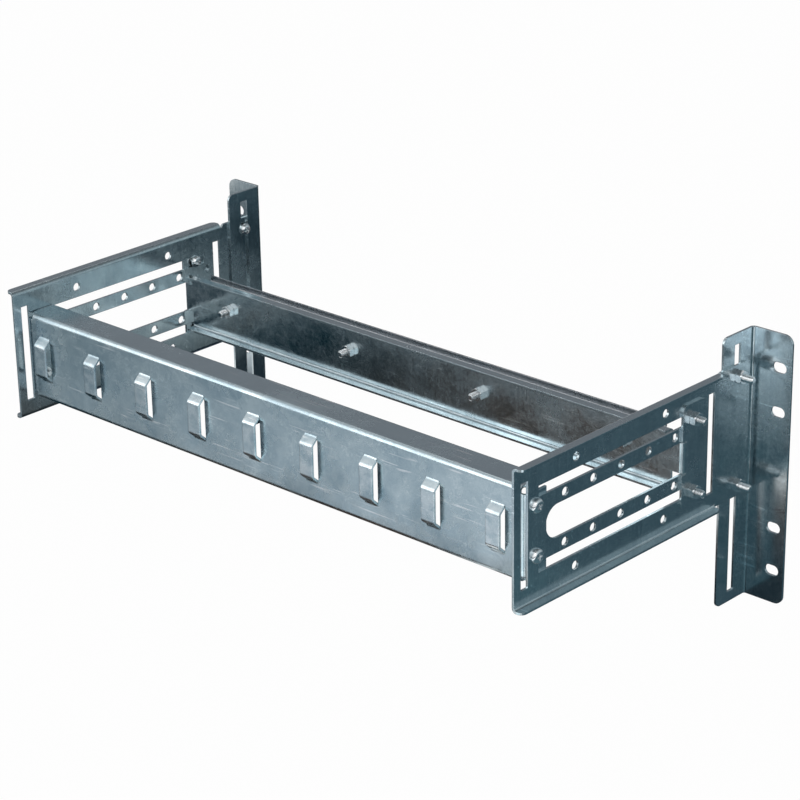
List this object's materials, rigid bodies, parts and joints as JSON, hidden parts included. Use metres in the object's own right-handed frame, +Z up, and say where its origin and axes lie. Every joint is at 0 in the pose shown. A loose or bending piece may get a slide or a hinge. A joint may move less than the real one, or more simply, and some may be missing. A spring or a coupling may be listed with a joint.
{
  "type": "rack-mount din rail panel",
  "caption": "Bolted sheet-steel frame that holds a DIN rail across a 19-inch rack, with slotted side brackets and a bar of lanced bridges for cable ties behind it.",
  "frame": {"origin": "centre of the rack slot pattern, on the face of the rack flanges that bears on the rack's posts", "axes": "+X to the right seen from behind the rack, +Y out of the rack's front, +Z up"},
  "size_m": [0.4826, 0.2221, 0.177],
  "materials": {
    "zinc_sheet": "blue-passivated zinc plating, semi-gloss, faintly mottled",
    "rail_steel": "passivated zinc plating, satin",
    "screw_zinc": "bright zinc plating, glossy"
  },
  "bodies": {
    "root": {"left_rack_bracket": "zinc_sheet", "right_rack_bracket": "zinc_sheet", "left_side_bracket": "zinc_sheet", "right_side_bracket": "zinc_sheet", "cable_bar": "zinc_sheet", "rail_carrier": "zinc_sheet", "din_rail": "rail_steel", "bar_screw_left_top": "screw_zinc", "bar_screw_left_bottom": "screw_zinc", "bar_screw_right_top": "screw_zinc", "bar_screw_right_bottom": "screw_zinc", "tab_bolt_left_top": "screw_zinc", "tab_bolt_left_bottom": "screw_zinc", "tab_bolt_right_top": "screw_zinc", "tab_bolt_right_bottom": "screw_zinc", "rack_bolt_left_top": "screw_zinc", "rack_bolt_left_bottom": "screw_zinc", "rack_bolt_right_top": "screw_zinc", "rack_bolt_right_bottom": "screw_zinc", "din_bolt_1": "screw_zinc", "din_bolt_2": "screw_zinc", "din_bolt_3": "screw_zinc", "din_bolt_4": "screw_zinc", "bar_nut_left_top": "screw_zinc", "bar_nut_left_bottom": "screw_zinc", "bar_nut_right_top": "screw_zinc", "bar_nut_right_bottom": "screw_zinc", "tab_nut_left_top": "screw_zinc", "tab_nut_left_bottom": "screw_zinc", "tab_nut_right_top": "screw_zinc", "tab_nut_right_bottom": "screw_zinc", "rack_nut_left_top": "screw_zinc", "rack_nut_left_bottom": "screw_zinc", "rack_nut_right_top": "screw_zinc", "rack_nut_right_bottom": "screw_zinc", "din_nut_1": "screw_zinc", "din_nut_2": "screw_zinc", "din_nut_3": "screw_zinc", "din_nut_4": "screw_zinc"}
  },
  "joints": []
}
